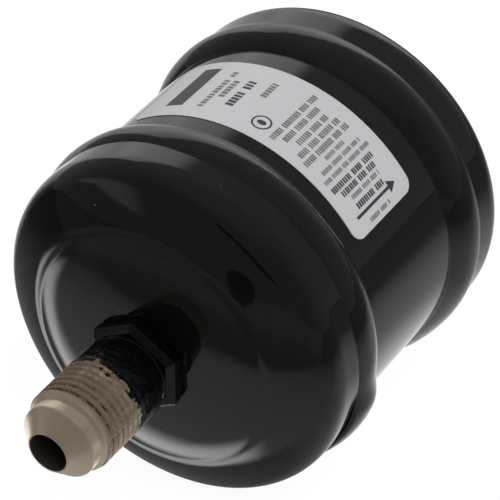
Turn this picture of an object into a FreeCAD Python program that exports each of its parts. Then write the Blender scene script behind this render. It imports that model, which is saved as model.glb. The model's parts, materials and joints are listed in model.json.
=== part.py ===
"""Filter drier with two 45 degree flare connections, every piece a solid of its own.

The flow axis is X: refrigerant enters at -X and leaves at +X. The origin is the middle of the
drum, on its axis, and the label lies on top. All values are millimetres and degrees.
"""
import FreeCAD, Part
import math
import os

from FreeCAD import Vector

# Shell tube
shell_diameter = 63.5
shell_wall = 1.6

# Drawn end caps: a skirt slips over the shell, then a shoulder and a shallow spherical dome
cap_wall = 1.6
cap_slip = 0.05
cap_lip_x = 18.4
cap_shoulder_x = 25.7
cap_shoulder_radius = 6.0
cap_dome_radius = 72.0
cap_seat_radius = 9.0

# Seam weld laid over each cap lip
weld_crest_height = 2.5
weld_crest_setback = 0.2
weld_arc_radius = 6.5

# What both flare fittings share, from the cap outwards
collar_length = 0.4
hex_length = 3.1
hex_front_chamfer = 0.9
hex_front_chamfer_length = 1.3
hex_rear_chamfer = 0.35
neck_length = 1.4
thread_lead_chamfer = 1.0
seat_cone_angle = 45.0
nose_lip = 0.25
spigot_reach = 2.4
spigot_chamfer = 0.5
braze_leg = 1.1
braze_top_land = 0.3

# Inlet fitting: 3/8 inch flare, 5/8-18 thread
inlet_thread_diameter = 15.875
inlet_thread_length = 16.1
inlet_bore_diameter = 7.14
inlet_across_flats = 16.4
inlet_neck_diameter = 13.7
inlet_collar_diameter = 15.2
inlet_land_length = 2.0
inlet_spigot_diameter = 12.0

# Outlet fitting: 1/4 inch flare, 7/16-20 thread
outlet_thread_diameter = 11.11
outlet_thread_length = 11.5
outlet_bore_diameter = 4.78
outlet_across_flats = 14.3
outlet_neck_diameter = 9.4
outlet_collar_diameter = 13.2
outlet_land_length = 1.6
outlet_spigot_diameter = 9.5

# Outlet plate, trapped between the shell's end and the cap's shoulder
plate_thickness = 1.2
plate_rim_clearance = 0.4
plate_shoulder_gap = 0.05
plate_hole_diameter = 4.5
plate_hole_pitch = 8.5
plate_hole_margin = 1.0
plate_swage_inset = 5.9
plate_swage_width = 3.0
plate_swage_depth = 0.8

# Spring plate: a perforated cup that slides in the shell
cup_slide_clearance = 0.25
cup_thickness = 1.0
cup_flange_length = 5.0
cup_bend_radius = 2.0
cup_hole_diameter = 5.0
cup_hole_pitch = 9.5
cup_hole_margin = 1.9

# Wire cloth, pads, gasket and the moulded core
pad_clearance = 0.3
screen_thickness = 0.6
gasket_thickness = 2.5
gasket_face_width = 6.85
inlet_pad_thickness = 3.0
core_wall_gap = 2.15
core_length = 36.0
core_edge_chamfer = 2.0
core_bore_diameter = 14.0
core_bore_depth = 20.0
core_bore_draft = 1.5
core_rib_count = 6
core_rib_width = 4.0

# Holding spring, conical, between the inlet cap and the spring plate
spring_wire = 1.6
spring_small_clearance = 0.4
spring_large_diameter = 40.0
spring_turns = 3
spring_ground = 0.4

# Label, wrapped round the shell; its middle angle is measured from -Y towards +Z
label_width = 18.9
label_wrap_angle = 97.0
label_middle_angle = 80.0
label_middle_x = -0.6
label_thickness = 0.12
label_corner_radius = 2.0

# Radii and stations that follow from the sizes above
shell_radius = shell_diameter / 2
shell_inner_radius = shell_radius - shell_wall
skirt_inner_radius = shell_radius + cap_slip
skirt_radius = skirt_inner_radius + cap_wall
shoulder_centre_radius = skirt_radius - cap_shoulder_radius
shoulder_inner_radius = cap_shoulder_radius - cap_wall
dome_inner_radius = cap_dome_radius - cap_wall
dome_centre_x = cap_shoulder_x - math.sqrt(
    (cap_dome_radius - cap_shoulder_radius) ** 2 - shoulder_centre_radius ** 2)
seat_x = dome_centre_x + math.sqrt(cap_dome_radius ** 2 - cap_seat_radius ** 2)
seat_inner_x = seat_x - cap_wall

plate_rim_radius = skirt_inner_radius - plate_rim_clearance
plate_back_x = (cap_shoulder_x - plate_shoulder_gap + math.sqrt(
    shoulder_inner_radius ** 2 - max(0.0, plate_rim_radius - shoulder_centre_radius) ** 2))
shell_end_x = plate_back_x - plate_thickness
plate_swage_radius = plate_rim_radius - plate_swage_inset

pad_radius = shell_inner_radius - pad_clearance
gasket_bore_radius = pad_radius - gasket_face_width
core_radius = shell_inner_radius - core_wall_gap
screen_front_x = shell_end_x - screen_thickness
gasket_front_x = screen_front_x - gasket_thickness
core_inlet_x = gasket_front_x - core_length
inlet_pad_x = core_inlet_x - inlet_pad_thickness
cup_seat_x = inlet_pad_x - cup_thickness

hex_x = seat_x + collar_length
hex_front_x = hex_x + hex_length
thread_x = hex_front_x + neck_length


class Section:
    """A closed half section in the plane of X and radius, made of lines and arcs."""

    def __init__(self, x, radius):
        self.start = Vector(x, radius, 0)
        self.here = self.start
        self.edges = []

    def line(self, x, radius):
        there = Vector(x, radius, 0)
        self.edges.append(Part.LineSegment(self.here, there).toShape())
        self.here = there
        return self

    def arc(self, centre_x, centre_radius, radius, from_angle, to_angle):
        """An arc about a centre; angles are measured from the X axis towards the radius."""
        def point(angle):
            turn = math.radians(angle)
            return Vector(centre_x + radius * math.cos(turn), centre_radius + radius * math.sin(turn), 0)
        end = point(to_angle)
        self.edges.append(Part.Arc(self.here, point((from_angle + to_angle) / 2), end).toShape())
        self.here = end
        return self

    def revolved(self):
        if self.here.distanceToPoint(self.start) > 1e-7:
            self.line(self.start.x, self.start.y)
        face = Part.Face(Part.Wire(self.edges))
        return face.revolve(Vector(0, 0, 0), Vector(1, 0, 0), 360)


def ring(x_from, x_to, inner_radius, outer_radius):
    """A plain ring or, with no inner radius, a disc."""
    solid = Part.makeCylinder(outer_radius, x_to - x_from, Vector(x_from, 0, 0), Vector(1, 0, 0))
    if inner_radius > 0:
        hole = Part.makeCylinder(inner_radius, x_to - x_from, Vector(x_from, 0, 0), Vector(1, 0, 0))
        solid = solid.cut(hole)
    return solid


def hexagon(across_flats, x, length, chamfer=0.0, chamfer_length=0.0):
    """A hexagonal prism along X, with an optional chamfer on the six edges at its far end."""
    def outline(flats, at):
        corner = flats / math.sqrt(3)
        turns = [math.radians(60 * side) for side in range(7)]
        return Part.makePolygon([Vector(at, corner * math.sin(turn), corner * math.cos(turn))
                                 for turn in turns])
    straight = length - chamfer_length
    solid = Part.Face(outline(across_flats, x)).extrude(Vector(straight, 0, 0))
    if chamfer_length > 0:
        tip = Part.makeLoft([outline(across_flats, x + straight),
                             outline(across_flats - 2 * chamfer, x + length)], True, True)
        solid = solid.fuse(tip).removeSplitter()
    return solid


def hole_places(pitch, field_radius, hole_diameter):
    """Centres of a triangular pattern of holes that stay whole inside a round field."""
    reach = field_radius - hole_diameter / 2
    rows = int(reach / (pitch * math.sqrt(3) / 2)) + 1
    columns = int(reach / pitch) + 1
    places = []
    for row in range(-rows, rows + 1):
        for column in range(-columns, columns + 1):
            y = pitch * (column + 0.5 * (row % 2))
            z = pitch * row * math.sqrt(3) / 2
            if math.hypot(y, z) <= reach:
                places.append((y, z))
    return places


def perforate(solid, x_from, x_to, diameter, pitch, field_radius):
    """Cut the pattern of holes through everything between two stations."""
    drills = [Part.makeCylinder(diameter / 2, x_to - x_from, Vector(x_from, y, z), Vector(1, 0, 0))
              for y, z in hole_places(pitch, field_radius, diameter)]
    return solid.cut(Part.makeCompound(drills))


def turned_about(shape):
    """The same piece for the inlet end: turned half a turn about the vertical axis."""
    other = shape.copy()
    other.rotate(Vector(0, 0, 0), Vector(0, 0, 1), 180)
    return other


def make_shell():
    """Plain tube between the two caps."""
    return ring(-shell_end_x, shell_end_x, shell_inner_radius, shell_radius)


def make_cap(hole_radius):
    """Drawn cup of even wall: skirt, shoulder, dome and a flat seat with a hole for the fitting."""
    shoulder_turn = math.degrees(math.atan2(shoulder_centre_radius, cap_shoulder_x - dome_centre_x))
    seat_turn = math.degrees(math.asin(cap_seat_radius / cap_dome_radius))
    inner_seat_radius = math.sqrt(dome_inner_radius ** 2 - (seat_inner_x - dome_centre_x) ** 2)
    inner_seat_turn = math.degrees(math.asin(inner_seat_radius / dome_inner_radius))
    section = Section(cap_lip_x, skirt_radius)
    section.line(cap_shoulder_x, skirt_radius)
    section.arc(cap_shoulder_x, shoulder_centre_radius, cap_shoulder_radius, 90, shoulder_turn)
    section.arc(dome_centre_x, 0, cap_dome_radius, shoulder_turn, seat_turn)
    section.line(seat_x, hole_radius)
    section.line(seat_inner_x, hole_radius)
    section.line(seat_inner_x, inner_seat_radius)
    section.arc(dome_centre_x, 0, dome_inner_radius, inner_seat_turn, shoulder_turn)
    section.arc(cap_shoulder_x, shoulder_centre_radius, shoulder_inner_radius, shoulder_turn, 90)
    section.line(cap_lip_x, skirt_inner_radius)
    return section.revolved()


def make_seam_weld():
    """Weld bead that rises from the shell, crowns over the cap's lip and runs out on the skirt."""
    crest_x = cap_lip_x + weld_crest_setback
    centre_radius = shell_radius + weld_crest_height - weld_arc_radius
    toe_turn = 180 - math.degrees(math.asin((shell_radius - centre_radius) / weld_arc_radius))
    runout_turn = math.degrees(math.asin((skirt_radius - centre_radius) / weld_arc_radius))
    toe_x = crest_x + weld_arc_radius * math.cos(math.radians(toe_turn))
    section = Section(toe_x, shell_radius)
    section.arc(crest_x, centre_radius, weld_arc_radius, toe_turn, runout_turn)
    section.line(cap_lip_x, skirt_radius)
    section.line(cap_lip_x, shell_radius)
    return section.revolved()


class FlareFitting:
    """One turned fitting, facing +X: its own sizes and the stations that follow from them."""

    def __init__(self, thread_diameter, thread_length, bore_diameter, across_flats,
                 neck_diameter, collar_diameter, land_length, spigot_diameter):
        self.thread_radius = thread_diameter / 2
        self.bore_radius = bore_diameter / 2
        self.across_flats = across_flats
        self.neck_radius = neck_diameter / 2
        self.collar_radius = collar_diameter / 2
        self.spigot_radius = spigot_diameter / 2
        self.land_radius = self.thread_radius - thread_lead_chamfer
        self.thread_end_x = thread_x + thread_length
        self.land_x = self.thread_end_x + thread_lead_chamfer
        self.cone_x = self.land_x + land_length
        cone_rise = self.land_radius - self.bore_radius - nose_lip
        self.mouth_x = self.cone_x + cone_rise / math.tan(math.radians(seat_cone_angle))

    def make(self):
        """Spigot, collar, hexagon, neck, thread, land and sealing cone, bored through."""
        spigot_x = seat_inner_x - spigot_reach
        body = Section(spigot_x, 0)
        body.line(spigot_x, self.spigot_radius - spigot_chamfer)
        body.line(spigot_x + spigot_chamfer, self.spigot_radius)
        body.line(seat_x, self.spigot_radius)
        body.line(seat_x, self.collar_radius)
        body.line(hex_x, self.collar_radius)
        body.line(hex_x, self.neck_radius)
        body.line(thread_x, self.neck_radius)
        body.line(thread_x, self.thread_radius)
        body.line(self.thread_end_x, self.thread_radius)
        body.line(self.land_x, self.land_radius)
        body.line(self.cone_x, self.land_radius)
        body.line(self.mouth_x, self.bore_radius + nose_lip)
        body.line(self.mouth_x, 0)
        flats = hexagon(self.across_flats, hex_x, hex_length, hex_front_chamfer, hex_front_chamfer_length)
        corner_radius = self.across_flats / math.sqrt(3)
        rear_cone = Section(hex_x, 0)
        rear_cone.line(hex_x, corner_radius - hex_rear_chamfer)
        rear_cone.line(hex_x + hex_rear_chamfer, corner_radius)
        rear_cone.line(hex_front_x, corner_radius)
        rear_cone.line(hex_front_x, 0)
        bore = ring(spigot_x, self.mouth_x, 0, self.bore_radius)
        return body.revolved().fuse(flats.common(rear_cone.revolved())).removeSplitter().cut(bore)

    def make_braze_ring(self):
        """Filler metal round the collar: it fills the gap below the hexagon and runs out on the seat."""
        foot_radius = self.collar_radius + braze_leg
        flare = braze_leg - braze_top_land
        fillet_radius = (flare ** 2 + collar_length ** 2) / (2 * collar_length)
        top_turn = 180 + math.degrees(math.atan2(flare, fillet_radius - collar_length))
        section = Section(seat_x, self.collar_radius)
        section.line(hex_x, self.collar_radius)
        section.line(hex_x, self.collar_radius + braze_top_land)
        section.arc(seat_x + fillet_radius, foot_radius, fillet_radius, top_turn, 180)
        return section.revolved()


def make_outlet_plate():
    """Perforated plate with a ring swage, trapped between the shell and the outlet cap."""
    front_x = shell_end_x
    swage_radius = plate_swage_radius
    half_width = plate_swage_width / 2
    rise = plate_swage_depth
    section = Section(front_x, 0)
    section.line(front_x, swage_radius - half_width)
    section.line(front_x + rise, swage_radius - half_width + rise)
    section.line(front_x + rise, swage_radius + half_width - rise)
    section.line(front_x, swage_radius + half_width)
    section.line(front_x, plate_rim_radius)
    section.line(plate_back_x, plate_rim_radius)
    section.line(plate_back_x, swage_radius + half_width)
    section.line(plate_back_x + rise, swage_radius + half_width - rise)
    section.line(plate_back_x + rise, swage_radius - half_width + rise)
    section.line(plate_back_x, swage_radius - half_width)
    section.line(plate_back_x, 0)
    return perforate(section.revolved(), front_x, plate_back_x,
                     plate_hole_diameter, plate_hole_pitch, swage_radius - half_width - plate_hole_margin)


def make_spring_plate():
    """Perforated cup whose flange slides in the shell and centres the spring."""
    outer = shell_inner_radius - cup_slide_clearance
    inner = outer - cup_thickness
    floor_x = cup_seat_x
    back_x = inlet_pad_x
    bend = cup_bend_radius
    section = Section(floor_x, 0)
    section.line(floor_x, inner - bend)
    section.arc(floor_x - bend, inner - bend, bend, 0, 90)
    section.line(back_x - cup_flange_length, inner)
    section.line(back_x - cup_flange_length, outer)
    section.line(floor_x - bend, outer)
    section.arc(floor_x - bend, inner - bend, bend + cup_thickness, 90, 0)
    section.line(back_x, 0)
    return perforate(section.revolved(), floor_x, back_x,
                     cup_hole_diameter, cup_hole_pitch, inner - bend - cup_hole_margin)


def make_holding_spring(spigot_radius):
    """Conical wire spring with ground ends, small end round the inlet spigot."""
    small_radius = spigot_radius + spring_small_clearance + spring_wire / 2
    large_radius = spring_large_diameter / 2
    length = cup_seat_x + seat_inner_x
    sweep_length = length - spring_wire + 2 * spring_ground
    cone_angle = math.degrees(math.atan((large_radius - small_radius) / sweep_length))
    slope_length = math.hypot(large_radius - small_radius, sweep_length)
    path = Part.makeHelix(slope_length / spring_turns, slope_length, small_radius, cone_angle)
    wire_section = Part.Wire(Part.makeCircle(spring_wire / 2, Vector(small_radius, 0, 0), Vector(0, 1, 0)))
    coil = Part.Wire(path).makePipeShell([wire_section], True, True)
    coil.rotate(Vector(0, 0, 0), Vector(0, 1, 0), 90)
    coil.translate(Vector(-seat_inner_x + spring_wire / 2 - spring_ground, 0, 0))
    return coil.common(ring(-seat_inner_x, cup_seat_x, 0, large_radius + spring_wire))


def make_desiccant_core():
    """Moulded block with a drafted blind hole at the outlet end and locating ribs along its wall."""
    edge = core_edge_chamfer
    bore = core_bore_diameter / 2
    bottom_x = gasket_front_x - core_bore_depth
    block = Section(core_inlet_x, 0)
    block.line(core_inlet_x, core_radius - edge)
    block.line(core_inlet_x + edge, core_radius)
    block.line(gasket_front_x - edge, core_radius)
    block.line(gasket_front_x, core_radius - edge)
    block.line(gasket_front_x, bore)
    block.line(bottom_x, bore - core_bore_draft)
    block.line(bottom_x, 0)
    solid = block.revolved()
    rib_length = core_length - 2 * edge
    for rib in range(core_rib_count):
        bar = Part.makeBox(rib_length, core_rib_width, pad_radius - core_radius + edge,
                           Vector(core_inlet_x + edge, -core_rib_width / 2, core_radius - edge))
        bar.rotate(Vector(0, 0, 0), Vector(1, 0, 0), 360 * rib / core_rib_count)
        solid = solid.fuse(bar)
    envelope = ring(core_inlet_x, gasket_front_x, 0, pad_radius)
    return solid.common(envelope).removeSplitter()


def make_label():
    """Thin sheet with rounded corners, wrapped on the shell from -Y up over the top."""
    outer = shell_radius + label_thickness
    section = [Vector(label_middle_x - label_width / 2, 0, -shell_radius),
               Vector(label_middle_x + label_width / 2, 0, -shell_radius),
               Vector(label_middle_x + label_width / 2, 0, -outer),
               Vector(label_middle_x - label_width / 2, 0, -outer)]
    face = Part.Face(Part.makePolygon(section + section[:1]))
    sheet = face.revolve(Vector(0, 0, 0), Vector(1, 0, 0), label_wrap_angle)
    radial = [edge for edge in sheet.Edges if abs(edge.Length - label_thickness) < label_thickness / 100]
    sheet = sheet.makeFillet(label_corner_radius, radial)
    far_edge_turn = 270 - label_middle_angle - label_wrap_angle / 2
    sheet.rotate(Vector(0, 0, 0), Vector(1, 0, 0), far_edge_turn)
    return sheet


def build():
    """Every piece by its name."""
    inlet = FlareFitting(inlet_thread_diameter, inlet_thread_length, inlet_bore_diameter, inlet_across_flats,
                         inlet_neck_diameter, inlet_collar_diameter, inlet_land_length, inlet_spigot_diameter)
    outlet = FlareFitting(outlet_thread_diameter, outlet_thread_length, outlet_bore_diameter,
                          outlet_across_flats, outlet_neck_diameter, outlet_collar_diameter,
                          outlet_land_length, outlet_spigot_diameter)
    seam_weld = make_seam_weld()
    return {
        "shell": make_shell(),
        "inlet_cap": turned_about(make_cap(inlet.spigot_radius)),
        "outlet_cap": make_cap(outlet.spigot_radius),
        "inlet_seam_weld": turned_about(seam_weld),
        "outlet_seam_weld": seam_weld,
        "inlet_fitting": turned_about(inlet.make()),
        "outlet_fitting": outlet.make(),
        "inlet_braze_ring": turned_about(inlet.make_braze_ring()),
        "outlet_braze_ring": outlet.make_braze_ring(),
        "holding_spring": make_holding_spring(inlet.spigot_radius),
        "spring_plate": make_spring_plate(),
        "inlet_filter_pad": ring(inlet_pad_x, core_inlet_x, 0, pad_radius),
        "desiccant_core": make_desiccant_core(),
        "core_gasket": ring(gasket_front_x, screen_front_x, gasket_bore_radius, pad_radius),
        "outlet_filter_pad": ring(gasket_front_x, screen_front_x, 0, gasket_bore_radius - pad_clearance),
        "outlet_screen": ring(screen_front_x, shell_end_x, 0, pad_radius),
        "outlet_plate": make_outlet_plate(),
        "label": make_label(),
    }


os.makedirs("parts", exist_ok=True)
for name, shape in build().items():
    shape.exportStep("parts/" + name + ".step")
    box = shape.BoundBox
    print(f"{name:20s} solids {len(shape.Solids)} valid {shape.isValid()} volume {shape.Volume:10.1f} "
          f"x {box.XMin:7.2f} to {box.XMax:7.2f} reach {box.YMax:6.2f} {box.ZMax:6.2f}")
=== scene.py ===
# %% [markdown]
# A filter drier in gloss black paint
#
# The part is a small steel drum on a refrigerant line: a tube, two drawn caps, a weld bead over each
# cap's lip, a flare fitting at each end and a paper label. The frame that is loaded here holds every
# solid at its real size. This script gives the drum the surfaces that a solid model leaves out: the
# uneven bead under the paint, the cut thread, the printed label, and a finish for every piece.

# %% The frame
import json
import math

import bpy
import numpy as np
from mathutils import Matrix, Vector


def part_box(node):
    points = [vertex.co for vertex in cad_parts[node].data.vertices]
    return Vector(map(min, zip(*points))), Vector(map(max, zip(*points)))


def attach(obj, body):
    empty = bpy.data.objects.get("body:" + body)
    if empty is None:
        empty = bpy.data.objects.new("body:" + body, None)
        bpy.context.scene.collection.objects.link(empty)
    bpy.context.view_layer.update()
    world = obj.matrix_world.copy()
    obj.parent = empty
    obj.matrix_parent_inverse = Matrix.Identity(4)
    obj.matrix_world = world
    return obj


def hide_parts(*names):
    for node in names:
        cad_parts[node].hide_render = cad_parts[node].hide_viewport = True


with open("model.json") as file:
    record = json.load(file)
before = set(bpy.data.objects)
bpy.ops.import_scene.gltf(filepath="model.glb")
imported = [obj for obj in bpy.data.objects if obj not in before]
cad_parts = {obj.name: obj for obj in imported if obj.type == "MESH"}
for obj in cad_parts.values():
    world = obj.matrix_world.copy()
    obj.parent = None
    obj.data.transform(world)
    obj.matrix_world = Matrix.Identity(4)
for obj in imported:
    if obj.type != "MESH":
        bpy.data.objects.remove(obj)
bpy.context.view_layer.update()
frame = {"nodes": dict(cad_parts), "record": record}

# %% [markdown]
# Sizes come from the frame wherever it has them: a node's box gives its ends and its outer radius,
# and the record's mounts give the thread and the bore. The drum lies along the X axis, so one number
# from a box is a station along X or a radius. What no box shows, such as the radius of a cap's
# shoulder, is named here in millimetres and kept equal to the solid's. The two fittings are alike in
# form but not in size, so one class holds the sizes of either, as if it faced +X.

# %% Sizes
MM = 0.001


def far(node):
    """Farthest station of a node along +X."""
    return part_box(node)[1][0]


def near(node):
    """Nearest station of a node along +X."""
    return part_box(node)[0][0]


def reach(node):
    """Outer radius of a node about the X axis."""
    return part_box(node)[1][2]


mounts = {mount["name"]: mount for mount in frame["record"]["mounts"]}
shell_radius = reach("shell")
shell_end = far("shell")
shell_wall = 1.6 * MM
cap_lip = near("outlet_cap")
cap_seat = far("outlet_cap")
cap_wall = 1.6 * MM
skirt_radius = reach("outlet_cap")
shoulder_radius = 6.0 * MM
dome_radius = 72.0 * MM
seat_radius = 9.0 * MM
crest_radius = reach("outlet_seam_weld")
lead_chamfer = 1.0 * MM


class FlareSizes:
    """Radii and stations of one flare fitting; what the frame shows is read from it."""

    def __init__(self, end, threads_per_inch, spigot, collar, neck, land, spray):
        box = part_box(f"{end}_fitting")
        ends = sorted(abs(corner[0]) for corner in box)
        thread = mounts[f"{end}_flare_thread"]
        self.name = end
        self.spigot_end, self.mouth = ends
        self.corner_radius = box[1][2]
        self.flat_radius = self.corner_radius * math.cos(math.radians(30.0))
        self.bore_radius = mounts[f"{end}_bore"]["dims"]["r_mm"] * MM
        self.thread_radius = thread["dims"]["r_mm"] * MM
        self.thread_length = thread["dims"]["length_mm"] * MM
        self.thread_start = abs(thread["pos_m"][0]) - self.thread_length / 2
        self.thread_end = self.thread_start + self.thread_length
        self.pitch = 25.4 * MM / threads_per_inch
        self.spigot_radius = spigot * MM
        self.collar_radius = collar * MM
        self.neck_radius = neck * MM
        self.land_radius = self.thread_radius - lead_chamfer
        self.land_length = land * MM
        self.spray_limit = spray * MM


inlet = FlareSizes("inlet", 18, spigot=6.0, collar=7.6, neck=6.85, land=2.0, spray=49.3)
outlet = FlareSizes("outlet", 20, spigot=4.75, collar=6.6, neck=4.7, land=1.6, spray=47.2)
print(f"drum {2000 * shell_radius:.1f} mm, crest {2000 * crest_radius:.1f} mm, "
      f"overall {1000 * (inlet.mouth + outlet.mouth):.1f} mm")

# %% [markdown]
# The camera looks down on the inlet end from 38 degrees above the bench, 32 degrees round from the
# flow axis, through a long lens. Its place is worked out from three numbers that describe a shot: two
# angles and a distance. The point it looks at lies just beside the drum's middle.

# %% Camera
camera_turn = math.radians(31.82)
camera_dip = math.radians(38.15)
camera_distance = 444.5 * MM
camera_lens = 179.6
aim = Vector((-0.64, 0.0, 0.0)) * MM
aim_right, aim_up = -0.947 * MM, -0.634 * MM


def direction(turn, rise):
    """Unit vector at an angle round from +X and an angle above the level."""
    return Vector((math.cos(turn) * math.cos(rise), math.sin(turn) * math.cos(rise), math.sin(rise)))


def add_object(name, data):
    """A new object in the scene, at the origin."""
    thing = bpy.data.objects.new(name, data)
    bpy.context.scene.collection.objects.link(thing)
    return thing


forward = direction(camera_turn, -camera_dip)
right = Vector((math.sin(camera_turn), -math.cos(camera_turn), 0.0))
up = right.cross(forward)
eye = aim + right * aim_right + up * aim_up - forward * camera_distance
camera = add_object("camera", bpy.data.cameras.new("camera"))
camera.data.lens = camera_lens
camera.data.sensor_width = 36.0
camera.data.clip_start = 0.01
camera.matrix_world = Matrix.Translation(eye) @ Matrix((right, up, -forward)).transposed().to_4x4()
bpy.context.scene.camera = camera
bpy.context.scene.view_settings.view_transform = "Standard"
print("camera at", [round(value, 3) for value in eye])

# %% [markdown]
# Node trees are easier to read as sums than as a list of links. `Wire` stands for one socket, and an
# expression on wires adds the Math nodes that work it out, so `1 - mask` is a node and not a number.
# `Recipe` is a material under construction: `add` makes any other node from its type, its settings
# and what feeds its sockets.

# %% Shader words
class Wire:
    """One output socket that takes part in sums."""

    def __init__(self, recipe, socket):
        self.recipe = recipe
        self.socket = socket

    def maths(self, operation, *others):
        inputs = dict(enumerate((self,) + others))
        return self.recipe.add("ShaderNodeMath", {"operation": operation}, inputs)

    def __add__(self, other):
        return self.maths("ADD", other)

    def __sub__(self, other):
        return self.maths("SUBTRACT", other)

    def __rsub__(self, other):
        return self.recipe.add("ShaderNodeMath", {"operation": "SUBTRACT"}, {0: other, 1: self})

    def __mul__(self, other):
        return self.maths("MULTIPLY", other)

    def __truediv__(self, other):
        return self.maths("DIVIDE", other)

    def __pow__(self, other):
        return self.maths("POWER", other)

    __radd__ = __add__

    def size(self):
        return self.maths("ABSOLUTE")

    def ramp(self, low, high, start=0.0, end=1.0):
        """Smooth step from start to end while the value goes from low to high."""
        inputs = {0: self, 1: low, 2: high, 3: start, 4: end}
        return self.recipe.add("ShaderNodeMapRange", {"interpolation_type": "SMOOTHSTEP"}, inputs)


class Recipe:
    """A material, or the world, and the words to write its node tree with."""

    def __init__(self, name, holder=None):
        self.holder = holder or bpy.data.materials.new(name)
        self.holder.use_nodes = True
        self.tree = self.holder.node_tree
        self.tree.nodes.clear()

    def add(self, kind, settings=None, inputs=None, output=0):
        """Any node: settings, numbers or wires for its sockets by name or number, and its output."""
        node = self.tree.nodes.new(kind)
        for key, value in (settings or {}).items():
            setattr(node, key, value)
        for key, value in (inputs or {}).items():
            if isinstance(value, Wire):
                self.tree.links.new(value.socket, node.inputs[key])
            else:
                node.inputs[key].default_value = value
        return Wire(self, node.outputs[output]) if node.outputs else node

    def place(self):
        """Object coordinates as a vector wire."""
        return self.add("ShaderNodeTexCoord", output="Object")

    def parts(self, vector):
        """The three numbers of a vector."""
        split = self.add("ShaderNodeSeparateXYZ", inputs={0: vector}).socket.node
        return [Wire(self, socket) for socket in split.outputs]

    def stretched(self, vector, factors):
        """Coordinates multiplied axis by axis, which squeezes or stretches what reads them."""
        return self.add("ShaderNodeVectorMath", {"operation": "MULTIPLY"}, {0: vector, 1: factors})

    def noise(self, vector, scale, detail=2.0, roughness=0.5):
        return self.add("ShaderNodeTexNoise", inputs={
            "Vector": vector, "Scale": scale, "Detail": detail, "Roughness": roughness})

    def mix(self, factor, first, second):
        """Colour that goes from the first to the second as the factor goes from 0 to 1.

        The node has a set of sockets for each kind of value; the numbers pick those for colours.
        """
        sockets = {0: factor, 6: first, 7: second}
        return self.add("ShaderNodeMix", {"data_type": "RGBA"}, sockets, output=2)

    def bump(self, height, distance, strength=1.0, under=None):
        inputs = {"Height": height, "Distance": distance, "Strength": strength}
        if under is not None:
            inputs["Normal"] = under
        return self.add("ShaderNodeBump", inputs=inputs)

    def finish(self, **sockets):
        """Principled surface from named sockets, such as Base_Color, joined to the output."""
        inputs = {key.replace("_", " "): value for key, value in sockets.items()}
        surface = self.add("ShaderNodeBsdfPrincipled", inputs=inputs)
        self.add("ShaderNodeOutputMaterial", inputs={"Surface": surface})
        return self.holder


def colour(red, green, blue):
    return (red, green, blue, 1.0)


def shade_of(tint, share=1.0):
    """A named tint as a node's colour, made darker or lighter by a share."""
    return colour(*[share * value for value in tint])


# %% [markdown]
# Gloss black paint shows almost nothing of its own colour: what the eye sees is the room in it. Its
# finish is therefore mostly in the normal. Sprayed enamel never levels fully, so a wide, very shallow
# orange peel bends the reflections a little, and dust that settled in the wet film stands in it as
# pale specks. A pattern's scale counts its features in a metre: 900 makes them about a millimetre
# wide.

# %% Black paint
paint_colour = (0.0028, 0.0028, 0.0028)
dust_colour = (0.30, 0.29, 0.26)
wave_scale = 120.0
peel_scale = 900.0
grain_scale = 5200.0
speck_scale = 260.0
dusty_place_scale = 70.0
wave_depth = 0.05 * MM
peel_depth = 0.008 * MM


def paint_film(recipe, place):
    """Wide unevenness, dust specks and roughness of the sprayed film."""
    wide = recipe.noise(place, wave_scale, 2.0)
    grain = recipe.noise(place, grain_scale, 2.0)
    cell = recipe.add("ShaderNodeTexVoronoi", inputs={"Vector": place, "Scale": speck_scale})
    dusty = recipe.noise(place, dusty_place_scale, 1.0).ramp(0.60, 0.66)
    speck = cell.ramp(0.055, 0.03) * dusty
    return wide, speck, 0.02 + wide * 0.03 + grain * 0.015 + speck * 0.4


def make_black_paint():
    recipe = Recipe("black_paint")
    place = recipe.place()
    wide, speck, rough = paint_film(recipe, place)
    tint = recipe.mix(wide, shade_of(paint_colour), shade_of(paint_colour, 1.5))
    shade = recipe.mix(speck * 0.5, tint, shade_of(dust_colour))
    soft = recipe.bump(wide, wave_depth, 0.3)
    normal = recipe.bump(recipe.noise(place, peel_scale, 1.0), peel_depth, 0.3, soft)
    return recipe.finish(Base_Color=shade, Roughness=rough, Normal=normal)


black_paint = make_black_paint()
print("paint:", len(black_paint.node_tree.nodes), "nodes")

# %% [markdown]
# The fittings are plated steel, screwed into a cover while the drum was sprayed. The spray reached
# past the cover, so the hexagon, the neck and the rear of the thread are black, with a torn edge
# where the cover ended. One surface holds both finishes: a mask that compares the distance along X
# with a noisy limit turns metal into paint. Grease and rust stay in the thread's grooves, so a
# second mask darkens what lies deep, by its distance from the axis, and a third lays stains in
# streaks along the thread. Both are heavier on the first turns, and both are darker on the upper
# side, which is painted shade and not grease or rust. The ring of filler metal behind the hexagon
# has a thin, dull coat of its own.

# %% Plated steel, partly sprayed
spray_raggedness = 2.6 * MM
spray_film = 0.14 * MM
plate_colour = (0.80, 0.68, 0.53)
# Dark brown for the thread's rust and grime, and for the painted shade on its upper side.
rust_and_shade_colour = (0.052, 0.029, 0.014)
bore_colour = (0.10, 0.095, 0.085)
cover_paint_colour = (0.0009, 0.0009, 0.0009)
cover_paint_specular = 0.30
shaded_upper_side = (-4.0 * MM, 6.0 * MM)
first_turns = (7.0 * MM, 1.0 * MM)
grime_depths = (0.02, 0.25)
stain_and_shade_share = 0.80


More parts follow.
